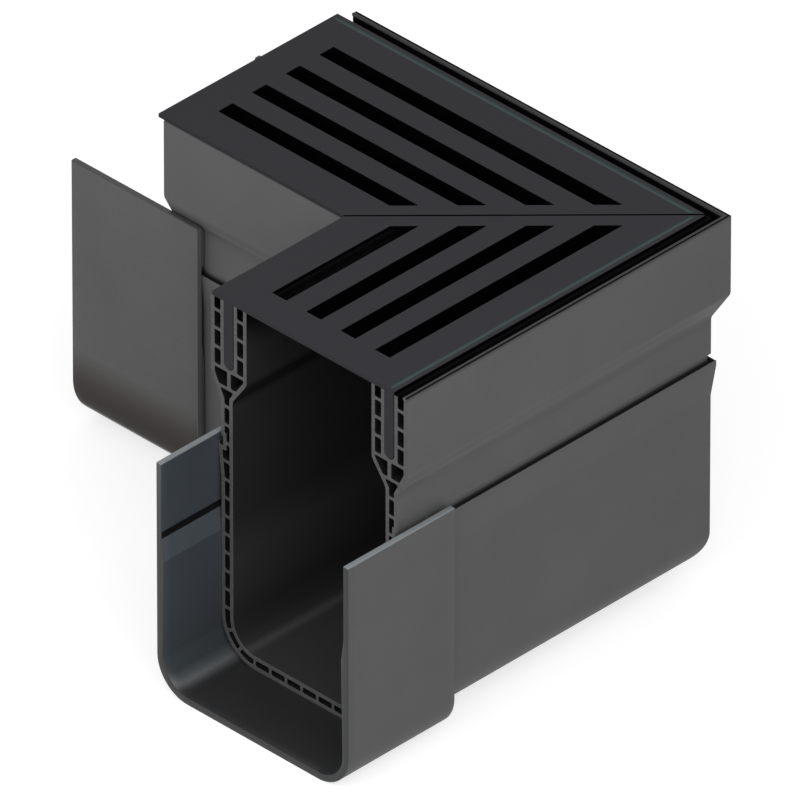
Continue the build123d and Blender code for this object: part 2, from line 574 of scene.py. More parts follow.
@dataclass
class Shell:
    """The grids and caps of one piece, gathered before its mesh is written."""

    points: list[np.ndarray] = field(default_factory=list)
    quads: list[np.ndarray] = field(default_factory=list)
    caps: list[list[int]] = field(default_factory=list)
    quad_finish: list[np.ndarray] = field(default_factory=list)
    cap_finish: list[int] = field(default_factory=list)
    size: int = 0
    merge: float = 0.004 * MM  # points closer than this become one
    sliver: float = 0.002 * MM  # edges shorter than this go

    def grid(self, rings: np.ndarray, finish: np.ndarray) -> None:
        """Add a closed tube: ring i, point j meets ring i + 1, point j + 1.

        Args:
            rings: Rings by points by xyz.
            finish: Finish number of each strip of each band, bands by points.
        """
        bands, around = rings.shape[0] - 1, rings.shape[1]
        number = self.size + np.arange(rings.shape[0] * around).reshape(-1, around)
        ahead = np.roll(number, -1, axis=1)
        faces = np.stack([number[:-1], ahead[:-1], ahead[1:], number[1:]], axis=-1)
        self.points.append(rings.reshape(-1, 3))
        self.quads.append(faces.reshape(-1, 4))
        self.quad_finish.append(np.broadcast_to(finish, (bands, around)).reshape(-1))
        self.size += rings.shape[0] * around

    def cap(
        self, finish: int, loops: list[np.ndarray], flat: list[np.ndarray] | None = None
    ) -> None:
        """Close an end: with one face, or with triangles where it has holes.

        Args:
            finish: Finish number of the cap.
            loops: The xyz points of the outline, then of each hole.
            flat: The same loops in the plane of the profile, where there are holes.
        """
        faces = np.arange(len(loops[0]))[None]
        if flat:
            drawn = [[Vector((x, y, 0.0)) for x, y in loop] for loop in flat]
            faces = np.array(tessellate_polygon(drawn), dtype=int).reshape(-1, 3)
        self.points.append(np.concatenate(loops))
        self.caps += (faces + self.size).tolist()
        self.cap_finish += [int(finish)] * len(faces)
        self.size += sum(len(loop) for loop in loops)

    def write(
        self, name: str, materials: list[bpy.types.Material], smooth_below: float = 30.0
    ) -> bpy.types.Object:
        """Write the mesh, merge its shared edges and turn its faces outwards.

        Args:
            name: The object's name.
            materials: One for each finish number.
            smooth_below: Edges that turn less than this many degrees are shaded smooth.

        Returns:
            The object, at the origin.
        """
        quads = np.concatenate(self.quads).tolist()
        mesh = bpy.data.meshes.new(name)
        mesh.from_pydata(np.concatenate(self.points).tolist(), [], quads + self.caps)
        finish = np.concatenate([*self.quad_finish, self.cap_finish]).astype(np.int32)
        mesh.polygons.foreach_set("material_index", finish)
        for material in materials:
            mesh.materials.append(material)
        work = bmesh.new()
        work.from_mesh(mesh)
        bmesh.ops.remove_doubles(work, verts=work.verts, dist=self.merge)
        bmesh.ops.dissolve_degenerate(work, edges=work.edges, dist=self.sliver)
        bmesh.ops.recalc_face_normals(work, faces=work.faces)
        work.to_mesh(mesh)
        work.free()
        mesh.polygons.foreach_set("use_smooth", np.ones(len(mesh.polygons), dtype=bool))
        mesh.set_sharp_from_angle(angle=math.radians(smooth_below))
        made = bpy.data.objects.new(name, mesh)
        bpy.context.scene.collection.objects.link(made)
        return made


@dataclass(frozen=True)
class Seat:
    """Where an arm's section coordinates lie in the frame.

    u runs inwards from the outer side of the corner, d down from the rim and a along the arm
    from the outer corner, all in millimetres.
    """

    corner: Triple
    arm: Arm

    def place(self, u: np.ndarray, d: np.ndarray, a: np.ndarray | float) -> np.ndarray:
        """Turn section coordinates to frame coordinates in metres.

        Args:
            u: Distance inwards.
            d: Depth below the rim.
            a: Distance along the arm.

        Returns:
            The points, with xyz as the last axis.
        """
        u, d, a = np.broadcast_arrays(u, d, a)
        across, along = (u, a) if self.arm is Arm.FRONT else (a, u)
        shift = np.stack([across, along, d], axis=-1) * MM
        return np.array(self.corner) - shift

    def section(self, loop: np.ndarray, a: np.ndarray | float) -> np.ndarray:
        """A loop of the section, in (u, -d), at a distance along the arm."""
        return self.place(loop[:, 0], -loop[:, 1], a)


# Channel lengths


@dataclass
class ChannelLength:
    """One mitred length of hollow-chamber channel with forked wall tops."""

    seat: Seat
    length: float
    width: float = 128.0
    depth: float = 200.0
    step: float = 6.4
    wall: float = 7.6
    skin: float = 2.2
    bottom_radius: float = 22.0
    edge: float = 0.18

    # Chambers
    web: float = 1.75
    web_pitch: float = 10.3
    first_web: float = 8.7
    wall_webs: int = 17
    floor_webs: int = 6  # round a corner and to the middle of the floor
    centre_web: float = 2.4
    chamber_radius: float = 0.75
    outer_skin_taper: tuple[float, float] = (43.5, 56.5)  # inner face of the outer skin
    inner_skin_taper: tuple[float, float] = (41.8, 54.9)

    # Forked wall top
    leg: float = 8.4
    leg_slot: float = 6.4
    leg_slot_depth: float = 38.7
    leg_slot_radius: float = 3.15
    outer_taper: tuple[float, float] = (44.0, 57.0)
    inner_taper: tuple[float, float] = (42.6, 55.6)
    taper_radius: float = 6.0
    plate_seat: float = 1.4
    rim_width: float = 2.8
    scored: tuple[float, float, float] = (0.3, 1.2, 0.5)  # line in the rim: from, to, depth

    # Rib along the outside
    rib_depth: float = 83.0
    rib_toe: float = 1.0
    rib_end: float = 101.0
    rib_end_radius: float = 12.0
    rib_proud: float = 1.8
    rib_lip: float = 1.6
    rib_lip_thickness: float = 0.7
    rib_groove: float = 1.2
    rib_groove_height: float = 5.2

    # Depths at which the painted shade round the plate ends
    far_shade: float = 4.6  # on the inner face of the far wall
    near_shade: float = 2.6  # on the inner face of the near wall
    gap_foot: float = 41.5  # in the leg's slots and the open chambers

    @property
    def fork(self) -> float:
        """Width of a forked wall top."""
        return 2 * self.leg + self.leg_slot

    @property
    def groove_top(self) -> float:
        """Depth at which the groove above the rib starts."""
        return self.rib_depth - self.rib_groove_height

    def top_points(self, near: bool) -> list[Triple]:
        """Corners of one forked wall top, from its outside to its inside.

        Args:
            near: True on the outer side of the corner, where the rim stands beside the plate.

        Returns:
            Corners as (u, d, radius), with u measured from that wall's outer face.
        """
        leg, skin, seat = self.leg, self.skin, self.plate_seat
        foot = self.first_web - self.web / 2
        end, down, bend = leg + self.leg_slot, self.leg_slot_depth, self.leg_slot_radius
        sharp, corner, crease, lip = 0.05, 0.3, 0.7, 0.4
        if near:
            # A fine line is scored along the rim's top
            left, right, deep = self.scored
            start = [(0, 0, 0.2), (left, 0, sharp), (left + 0.1, deep, sharp),
                     (right - 0.1, deep, sharp), (right, 0, sharp), (self.rim_width, 0, corner),
                     (self.rim_width, seat, corner), (skin, seat, 0.2)]
            stop = []
        else:
            start = [(0, seat, corner), (skin, seat, corner)]
            # The painted shade under the plate ends at this point of the inner face
            stop = [(self.fork, self.far_shade, sharp)]
        return start + [
            (skin, foot, crease), (leg - skin, foot, crease), (leg - skin, seat, corner),
            (leg, seat, lip), (leg, down, bend), (end, down, bend),
            (end, seat, lip), (end + skin, seat, corner), (end + skin, foot, crease),
            (self.fork - skin, foot, crease), (self.fork - skin, seat, corner),
            (self.fork, seat, lip),
        ] + stop

    def outside_points(self) -> list[Triple]:
        """Corners of a wall's outside: taper, groove, hooked rib and floor corner.

        Returns:
            Corners as (u, d, radius), from the taper down.
        """
        step, rib = self.step, self.rib_depth
        groove, hook = step + self.rib_groove, step - self.rib_proud + self.rib_lip_thickness
        proud, lip_top = step - self.rib_proud, rib - self.rib_lip
        return [
            (0, self.outer_taper[0], self.taper_radius),
            (step, self.outer_taper[1], self.taper_radius),
            (step, self.groove_top, 0.3), (groove, self.groove_top, 0.3), (groove, rib, 0.3),
            (hook, rib, 0.2), (hook, lip_top, 0.25), (proud, lip_top, 0.25),
            (proud, rib + self.rib_toe, 1.2), (step, self.rib_end, self.rib_end_radius),
            (step, self.depth, self.bottom_radius),
        ]

    def outline(self) -> np.ndarray:
        """The whole section's outline, open chambers and slots included.

        Returns:
            Its points in (u, -d).
        """
        face = self.step + self.wall
        inside = [(self.fork, self.inner_taper[0], self.taper_radius),
                  (face, self.inner_taper[1], self.taper_radius),
                  (face, self.depth - self.wall, self.bottom_radius - self.wall)]
        upwards = self.outside_points()[::-1]
        loop = self.top_points(True) + inside
        loop += other_wall(self.top_points(False) + inside, self.width)
        loop += other_wall(upwards, self.width) + upwards
        return drawn_section(loop)

    def wall_cells(self) -> list[np.ndarray]:
        """Chambers of one wall, down to the rounded floor corner.

        A chamber's sides follow the skins, whose inner faces are given here as u against d.

        Returns:
            Each chamber's corners as (u, d).
        """
        skin, web = self.skin, self.web
        past_end, hair = 400.0, 0.1  # a depth below the whole wall, and a step's height
        low, face = self.step + skin, self.step + self.wall - skin
        deep, hollow = low + self.rib_groove, low - self.rib_lip
        groove_top, groove_foot = self.groove_top - skin, self.rib_depth + skin
        out_d = np.array([0, *self.outer_skin_taper, groove_top - hair, groove_top,
                          groove_foot, groove_foot + hair, self.rib_end - 0.5, past_end])
        out_u = np.array([skin, skin + 0.1, low, low, deep, deep, hollow, low, low])
        in_d = np.array([0, *self.inner_skin_taper, past_end])
        in_u = np.array([self.fork - skin, self.fork - skin, face, face])
        webs = self.first_web + self.web_pitch * np.arange(self.wall_webs)
        # Pairs of chambers beside the leg's slot, then pairs at an upright web, then one
        beside_slot, beside_web = self.leg_slot_depth + 1, self.leg_slot_depth + 5
        slot = (self.leg - skin, self.leg + self.leg_slot + skin)
        middle = self.leg + self.leg_slot / 2
        upright = (middle - self.centre_web / 2, middle + self.centre_web / 2)
        cells = []
        for top, foot in zip(webs[:-1] + web / 2, webs[1:] - web / 2):
            marks = np.concatenate([out_d, in_d])
            d = np.unique(np.concatenate([[top, foot], marks[(marks > top) & (marks < foot)]]))
            left, right = np.interp(d, out_d, out_u), np.interp(d, in_d, in_u)
            spans = [(left, right)]
            if foot < beside_slot or top < beside_web:
                inner = slot if foot < beside_slot else upright
                spans = [(left, np.full_like(d, inner[0])), (np.full_like(d, inner[1]), right)]
            cells += [
                np.concatenate([np.stack([a, d], 1), np.stack([b, d], 1)[::-1]])
                for a, b in spans
            ]
        return cells

    def floor_cells(self) -> list[np.ndarray]:
        """Chambers round one floor corner and to the middle of the floor.

        The middle line runs down the wall, round the corner at radius m, and along the floor.
        A point at length s along it, h outwards, lies at angle s / m from the corner's start.

        Returns:
            Each chamber's corners as (u, d).
        """
        m = self.bottom_radius - self.wall / 2
        arc = m * math.pi / 2
        centre_u, centre_d = self.step + self.bottom_radius, self.depth - self.bottom_radius
        last = arc + self.width / 2 - self.web_pitch / 2 - centre_u
        webs = [last - self.web_pitch * n for n in reversed(range(-1, self.floor_webs))]
        webs.insert(0, self.first_web + (self.wall_webs - 1) * self.web_pitch - centre_d)
        half = self.wall / 2 - self.skin
        cells = []
        for above, below in zip(webs, webs[1:]):
            s = np.linspace(above + self.web / 2, below - self.web / 2, 5)
            turn = np.clip(s / m, 0, math.pi / 2)
            past = np.maximum(s - arc, 0)
            before = np.minimum(s, 0)
            sides = [
                np.stack([centre_u - (m + h) * np.cos(turn) + past,
                          centre_d + (m + h) * np.sin(turn) + before], axis=1)
                for h in (half, -half)
            ]
            cells.append(np.concatenate([sides[0], sides[1][::-1]]))
        return cells

    def chambers(self) -> list[np.ndarray]:
        """All closed chambers, as wound outlines in (u, -d).

        Returns:
            One array of points for each chamber.
        """
        walls, floor = self.wall_cells(), self.floor_cells()
        far = walls + floor[:-1]
        cells = walls + floor + [np.stack([self.width - c[:, 0], c[:, 1]], 1) for c in far]
        loops = []
        for cell in cells:
            radius = np.full(len(cell), self.chamber_radius)
            corners = np.column_stack([cell[:, 0], -cell[:, 1], radius])
            loops.append(wound(rounded(corners), hole=True))
        return loops

    def strip_finish(self, loop: np.ndarray) -> np.ndarray:
        """Find the finish of each strip of the outline by where it lies.

        Args:
            loop: The outline in (u, -d).

        Returns:
            One finish number for each strip.
        """
        middle = strip_middles(loop)
        u, d = middle[:, 0], -middle[:, 1]
        side = np.minimum(u, self.width - u)
        slack = 0.1
        face = np.interp(d, self.inner_taper, [self.fork, self.step + self.wall])
        shade = np.where(u > self.width / 2, self.far_shade, self.near_shade)
        inside = (side > face - 0.6) & (d < self.depth - self.wall + slack) & (d > shade)
        # Painted shade round the plate: the leg's slots, the open chambers and the inner side of
        # the rim, and also the line scored in the rim
        gap = (side > self.skin - slack) & (side < self.fork + slack)
        gap &= (d > 0.8) & (d < self.gap_foot) & ~((side < self.rim_width + slack) & (d < 1.0))
        left, right, deep = self.scored
        gap |= (u > left) & (u < right) & (d > 0.05) & (d < deep + slack)
        # The groove above the rib takes its own finish of painted light and shade
        groove = (d > self.groove_top + slack) & (d < self.rib_depth + slack)
        groove &= abs(side - self.step) < self.rib_groove + slack
        rim = (u < self.rim_width) & (d < slack)
        return np.select(
            [inside, groove, gap, rim],
            [ChannelFace.WATERWAY, ChannelFace.GROOVE, ChannelFace.GAP, ChannelFace.RIM],
            ChannelFace.OUTSIDE,
        )

    def tube(self, shell: Shell, loop: np.ndarray, finish: np.ndarray) -> None:
        """Carry one outline from the mitre to the sawn end, with a small broken edge there.

        Args:
            shell: Receives the grid.
            loop: The outline in (u, -d).
            finish: Finish number of each strip.
        """
        rings = np.stack([
            self.seat.section(loop, loop[:, 0]),
            self.seat.section(loop, self.length - self.edge),
            self.seat.section(inset(loop, self.edge), self.length),
        ])
        shell.grid(rings, np.stack([finish, np.full_like(finish, ChannelFace.SAWN)]))

    def build(self, name: str, materials: list[bpy.types.Material]) -> bpy.types.Object:
        """Build the length.

        Args:
            name: The object's name.
            materials: One for each ChannelFace.

        Returns:
            The object.
        """
        outline, chambers = self.outline(), self.chambers()
        loops = [outline, *chambers]
        shell = Shell()
        self.tube(shell, outline, self.strip_finish(outline))
        for loop in chambers:
            self.tube(shell, loop, np.full(len(loop), ChannelFace.CHAMBER))
        tight = [inset(loop, self.edge) for loop in loops]
        sawn = [self.seat.section(loop, self.length) for loop in tight]
        shell.cap(ChannelFace.SAWN, sawn, tight)
        mitre = [self.seat.section(loop, loop[:, 0]) for loop in loops]
        shell.cap(ChannelFace.SAWN, mitre, loops)
        return shell.write(name, materials)


# Grates


@dataclass
class Grate:
    """One mitred grate: a slotted plate on two legs with round ends."""

    seat: Seat
    length: float
    width: float = 128.0
    inner_edge: float = 127.4
    outer_edge: float = 8.2
    rise: float = 0.6
    thickness: float = 2.0
    mitre_gap: float = 0.7
    edge: float = 0.22

    # Slots
    slot_width: float = 9.6
    slot_pitch: float = 22.4
    slot_first: float = 34.4
    slots: int = 4
    end_land: float = 18.6
    mitre_land: float = 12.0

    # Legs
    leg_middle: float = 11.6
    leg_thickness: float = 5.8
    leg_foot: float = 38.4

    # Shallow line beside the outer edge, whose teal tone is a painted highlight
    bead: tuple[float, float] = (10.5, 12.9)
    bead_depth: float = 0.4
    bead_slope: float = 0.15
    bead_stop: float = 1.6

    # Thick middle between the wall tops, a hair behind the plate's slot walls
    middle_edge: float = 24.2
    middle_depth: float = 9.8
    middle_setback: float = 9.0
    middle_lap: float = 0.5
    hair: float = 0.15

    @property
    def mitre_shift(self) -> float:
        """How far the mitre's gap moves the plate's end along the arm."""
        return self.mitre_gap / math.sqrt(2)

    def mitred_strip(
        self, low: float, high: float, stop: float, at_mitre: float, at_end: float
    ) -> np.ndarray:
        """Outline of a strip along the arm that is cut to the mitre.

        Args:
            low: Its outer edge.
            high: Its inner edge.
            stop: How far it ends short of both ends.
            at_mitre: Radius of its corners at the mitre.
            at_end: Radius of its corners at the free end.

        Returns:
            Its points in (u, a).
        """
        shift, end = self.mitre_shift + stop, self.length - stop
        return rounded(np.array([(low, low + shift, at_mitre), (high, high + shift, at_mitre),
                                 (high, end, at_end), (low, end, at_end)]))

    def slot_plans(self) -> list[np.ndarray]:
        """Outlines of the slots, mitred like the plate.

        Returns:
            One array of points in (u, a) for each slot.
        """
        end, radius = self.length - self.end_land, 0.4
        plans = []
        for n in range(self.slots):
            left = self.slot_first + n * self.slot_pitch - self.slot_width / 2
            right = left + self.slot_width
            corners = [(left, left + self.mitre_land, radius),
                       (right, right + self.mitre_land, radius),
                       (right, end, radius), (left, end, radius)]
            plans.append(wound(rounded(np.array(corners)), hole=True))
        return plans

    def middle_plan(self, slots: list[np.ndarray]) -> list[np.ndarray]:
        """Outline and holes of the thick middle.

        A slot that crosses the middle's edge becomes a notch in its outline.

        Args:
            slots: The plate's slots in (u, a).

        Returns:
            The outline, then the holes.
        """
        hair, shift = self.hair, self.mitre_shift
        low, high = self.middle_edge, self.width - self.middle_edge
        corners = [(low, low + shift), (high, high + shift)]
        holes = []
        for slot in slots:
            left, right, end = slot[:, 0].min(), slot[:, 0].max(), slot[:, 1].max()
            if right < high:
                holes.append(inset(slot, hair))
            elif left < high:
                start = self.mitre_land - 2 * hair
                corners += [(high, high + start), (left - hair, left - hair + start),
                            (left - hair, end + hair), (high, end + hair)]
        stop = self.length - self.middle_setback
        corners += [(high, stop), (low, stop)]
        outline = np.column_stack([np.array(corners), np.full(len(corners), 0.5)])
        return [wound(rounded(outline)), *holes]

    def at(self, loop: np.ndarray, depth: float, move: float = 0.0) -> np.ndarray:
        """A loop of the plan, moved into the plate and set at a depth below the rim."""
        loop = inset(loop, move) if move else loop
        return self.seat.place(loop[:, 0], depth, loop[:, 1])

    def add_plate(self, shell: Shell, slots: list[np.ndarray]) -> None:
        """Add the plate with its slots and its shallow line.

        Args:
            shell: Receives the faces.
            slots: The slots in (u, a).
        """
        top, foot, e = -self.rise, self.thickness - self.rise, self.edge
        plate = wound(self.mitred_strip(self.outer_edge, self.inner_edge, 0.0, 0.25, 0.4))
        bead = wound(self.mitred_strip(*self.bead, self.bead_stop, 0.2, 0.2), hole=True)
        stations = [(foot, 0.0), (top + e, 0.0), (top + 0.3 * e, 0.3 * e), (top, e)]
        for loop in (plate, *slots):
            rings = np.stack([self.at(loop, depth, move) for depth, move in stations])
            # The slot walls and the plate's sides carry painted shade
            side = np.full(len(loop), GrateFace.SHADOW)
            lip = np.full(len(loop), GrateFace.COAT)
            if loop is plate:
                # Painted shade: the outer edge stands in the shadow of the rim, the mitre in its
                # own gap
                u, a = strip_middles(loop).T
                mitre = a - u < self.mitre_gap
                side[~mitre & (u >= self.outer_edge + 0.3)] = GrateFace.COAT
                lip[mitre] = GrateFace.SHADOW
            shell.grid(rings, np.stack([side, lip, lip]))
        low = top + self.bead_depth
        groove = np.stack([self.at(bead, top), self.at(bead, low, -self.bead_slope)])
        shell.grid(groove, np.full((1, len(bead)), GrateFace.LINE))
        shell.cap(GrateFace.LINE, [groove[1]])
        tops = [inset(plate, e), *[inset(slot, e) for slot in slots], bead]
        shell.cap(GrateFace.COAT, [self.at(loop, top) for loop in tops], tops)
        shell.cap(GrateFace.COAT, [self.at(loop, foot) for loop in (plate, *slots)],
                  [plate, *slots])

    def add_middle(self, shell: Shell, slots: list[np.ndarray]) -> None:
        """Add the thick middle, which starts inside the plate.

        Args:
            shell: Receives the faces.
            slots: The plate's slots in (u, a).
        """
        start = self.thickness - self.rise - self.middle_lap
        deep, e = self.middle_depth - self.rise, self.edge
        loops = self.middle_plan(slots)
        # The middle's sides and its face inside the plate carry painted shade
        for loop in loops:
            rings = [self.at(loop, start), self.at(loop, deep - e), self.at(loop, deep, e)]
            shell.grid(np.stack(rings), np.full((2, len(loop)), GrateFace.SHADOW))
        shell.cap(GrateFace.SHADOW, [self.at(loop, start) for loop in loops], loops)
        tight = [inset(loop, e) for loop in loops]
        shell.cap(GrateFace.COAT, [self.at(loop, deep) for loop in tight], tight)

    def add_leg(self, shell: Shell, middle: float) -> None:
        """Add one leg with its round foot.

        Args:
            shell: Receives the faces.
            middle: Where it stands, as u.
        """
        half, foot = self.leg_thickness / 2, self.thickness - self.rise
        loop = drawn_section([
            (middle - half, foot, 0.05), (middle + half, foot, 0.05),
            (middle + half, self.leg_foot, half * 0.98),
            (middle - half, self.leg_foot, half * 0.98),
        ])
        rings = np.stack([self.seat.section(loop, loop[:, 0] + self.mitre_shift),
                          self.seat.section(loop, self.length)])
        # The leg's sides under the plate carry painted shade
        shell.grid(rings, np.full((1, len(loop)), GrateFace.SHADOW))
        shell.cap(GrateFace.COAT, [rings[0]])
        shell.cap(GrateFace.COAT, [rings[1]])

    def build(self, name: str, materials: list[bpy.types.Material]) -> bpy.types.Object:
        """Build the grate.

        Args:
            name: The object's name.
            materials: One for each GrateFace.

        Returns:
            The object.
        """
        shell, slots = Shell(), self.slot_plans()
        self.add_plate(shell, slots)
        self.add_middle(shell, slots)
        for middle in (self.leg_middle, self.width - self.leg_middle):
            self.add_leg(shell, middle)
        return shell.write(name, materials, smooth_below=20.0)


# Sleeves


@dataclass
class CouplingSleeve:
    """A moulded U-shaped sleeve, open at the top, round the channel's free end."""

    seat: Seat
    start: float
    end: float
    top: float
    radius: float
    railed: bool = False
    width: float = 128.0
    depth: float = 200.0
    wall: float = 4.8
    outer: float = 1.3  # u of the outside
    close: float = 6.1  # u of the inside against the channel's lower wall
    wide: float = 4.4  # u of the inside where it clears the rib
    edge: float = 0.28

    # Line and ramp at the foot of the wide part: the line dark with painted shade, the ramp
    # lighter with a painted highlight
    recess_bottom: float = 115.5
    recess_line: float = 3.5
    recess_line_depth: float = 1.0
    ramp_bottom: float = 131.0

    # Thick top of the taller sleeve
    rail_flat: float = 2.9
    rail_slope: float = 13 / 6.4  # as steep as the channel's taper
    rail_bottom: float = 76.0
    rail_step: float = 1.0

    # Lead-in of the mouth
    lead: float = 1.0
    lead_length: float = 5.0
    lead_fade: float = 6.0

    def outline(self) -> np.ndarray:
        """The sleeve's section.

        Returns:
            Its points in (u, -d).
        """
        wide, close, outer = self.wide, self.close, self.outer
        line, sunk = self.recess_bottom, wide - self.recess_line_depth
        line_foot = line + self.recess_line
        inside = [(wide, self.top, 0.5)]
        if self.railed:
            slant = self.top + (close - outer - self.rail_flat) * self.rail_slope
            inside = [(outer + self.rail_flat, self.top, 0.5), (close, slant, 0.6),
                      (close, self.rail_bottom, 0.6),
                      (wide, self.rail_bottom + self.rail_step, 0.4)]
        inside += [(wide, line, 0.3), (sunk, line, 0.3), (sunk, line_foot, 0.3),
                   (wide, line_foot, 0.3), (close, self.ramp_bottom, 3.0),
                   (close, self.depth, self.radius - self.wall)]
        upwards = [(outer, self.depth + self.wall, self.radius), (outer, self.top, 0.5)]
        return drawn_section(inside + other_wall(inside, self.width)
                             + other_wall(upwards, self.width) + upwards)

    def lead_in(self, loop: np.ndarray) -> np.ndarray:
        """How far the mouth's inside opens out, which starts below the ramp.

        Args:
            loop: The outline in (u, -d).

        Returns:
            One distance for each point, 0 on the outside.
        """
        across, down = np.minimum(loop[:, 0], self.width - loop[:, 0]), -loop[:, 1]
        bend = self.radius - self.wall
        reach = np.hypot(np.maximum(self.close + bend - across, 0),
                         np.maximum(down - self.depth + bend, 0))
        lead = np.where(reach < self.radius - self.wall / 2, self.lead, 0.0)
        return lead * np.clip((down - self.ramp_bottom) / self.lead_fade, 0.0, 1.0)

    def rings(self, loop: np.ndarray) -> np.ndarray:
        """The outline at each station from the hidden end to the mouth.

        Both ends have a rounded edge. The line at the foot of the wide part runs out before
        them.

        Args:
            loop: The outline in (u, -d).

        Returns:
            Rings by points by xyz.
        """
        e, lead = self.edge, self.lead_in(loop)
        across, down = np.minimum(loop[:, 0], self.width - loop[:, 0]), -loop[:, 1]
        slack = 0.4
        line = (down > self.recess_bottom - slack) & (across > self.outer + 0.5)
        line &= down < self.recess_bottom + self.recess_line + slack
        near = loop[:, 0] < self.width / 2
        bevel = [(0.0, 1.0), (0.3, 0.3), (1.0, 0.0)]  # along and inwards, as shares of the edge
        stations = [(self.start + e * along, e * inwards, 0.0) for along, inwards in bevel]
        stations += [(self.end - e * along, e * inwards, 1.0) for along, inwards in bevel[::-1]]
        rings = []
        for a, inwards, led in stations:
            moved = inset(loop, inwards + lead * led)
            flush = self.wide - inwards
            moved[line, 0] = np.where(near, flush, self.width - flush)[line]
            rings.append(self.seat.section(moved, a))
        lined = [self.seat.section(loop, self.start + self.lead_length),
                 self.seat.section(loop, self.end - self.lead_length)]
        half = len(bevel)
        return np.stack(rings[:half] + lined + rings[half:])

    def strip_finish(self, loop: np.ndarray) -> np.ndarray:
        """Find the finish of each strip of the outline by where it lies.

        Args:
            loop: The outline in (u, -d).

        Returns:
            One finish number for each strip.
        """
        middle = strip_middles(loop)
        u, d = middle[:, 0], -middle[:, 1]
        side = np.minimum(u, self.width - u)
        slack = 0.1
        sunk = self.wide - self.recess_line_depth
        line_foot = self.recess_bottom + self.recess_line
        inside = (side > sunk - slack) & (d < self.depth + slack) & (d > self.top + 0.3)
        inside &= (side > self.close - slack) | (d < self.ramp_bottom)
        # The line takes painted shade and the ramp below it a painted highlight
        line = inside & (d > self.recess_bottom - 0.2) & (d < line_foot + 0.2)
        line &= side < self.wide + 0.05
        ramp = inside & (d > line_foot + slack) & (d < self.ramp_bottom + 0.4)
        # The rounded floor corner on the outer side takes painted shade, a darker copy of the
        # inside
        painted_shade_corner = inside & (u < self.width / 2) & (d > self.depth - self.radius)
        return np.select(
            [d < self.top + 0.55, line, ramp, painted_shade_corner, inside],
            [SleeveFace.TOP, SleeveFace.LINE, SleeveFace.RAMP, SleeveFace.INSIDE_PAINTED_SHADE,
             SleeveFace.INSIDE],
            SleeveFace.OUTSIDE,
        )

    def build(self, name: str, materials: list[bpy.types.Material]) -> bpy.types.Object:
        """Build the sleeve.

        Args:
            name: The object's name.
            materials: One for each SleeveFace.

        Returns:
            The object.
        """
        loop = self.outline()
        rings, finish = self.rings(loop), self.strip_finish(loop)
        top, outer_half = finish == SleeveFace.TOP, strip_middles(loop)[:, 0] < self.width / 2
        bands = np.tile(finish, (len(rings) - 1, 1))
        bands[:2] = np.where(top, SleeveFace.TOP, SleeveFace.END)
        # The mouth's bevel on the outer wall takes the same finish as the outer wall's part of
        # the end face
        bands[-2:] = np.select(
            [top, outer_half], [SleeveFace.TOP, SleeveFace.END_SHADED], SleeveFace.END
        )
        shell = Shell()
        shell.grid(rings, bands)
        shell.cap(SleeveFace.END, [rings[0]])
        # The mouth's end face is cut in two, one part for each wall, so that the outer wall's
        # part can take painted shade
        outer_part = loop[:, 0] < self.width / 2
        first = int(np.flatnonzero(outer_part & ~np.roll(outer_part, 1))[0])
        order = np.roll(np.arange(len(loop)), -first)
        count = int(outer_part.sum())
        shell.cap(SleeveFace.END_SHADED, [rings[-1][order[:count]]])
        shell.cap(SleeveFace.END, [rings[-1][np.append(order[count - 1 :], order[0])]])
        return shell.write(name, materials, smooth_below=42.0)


# Stage


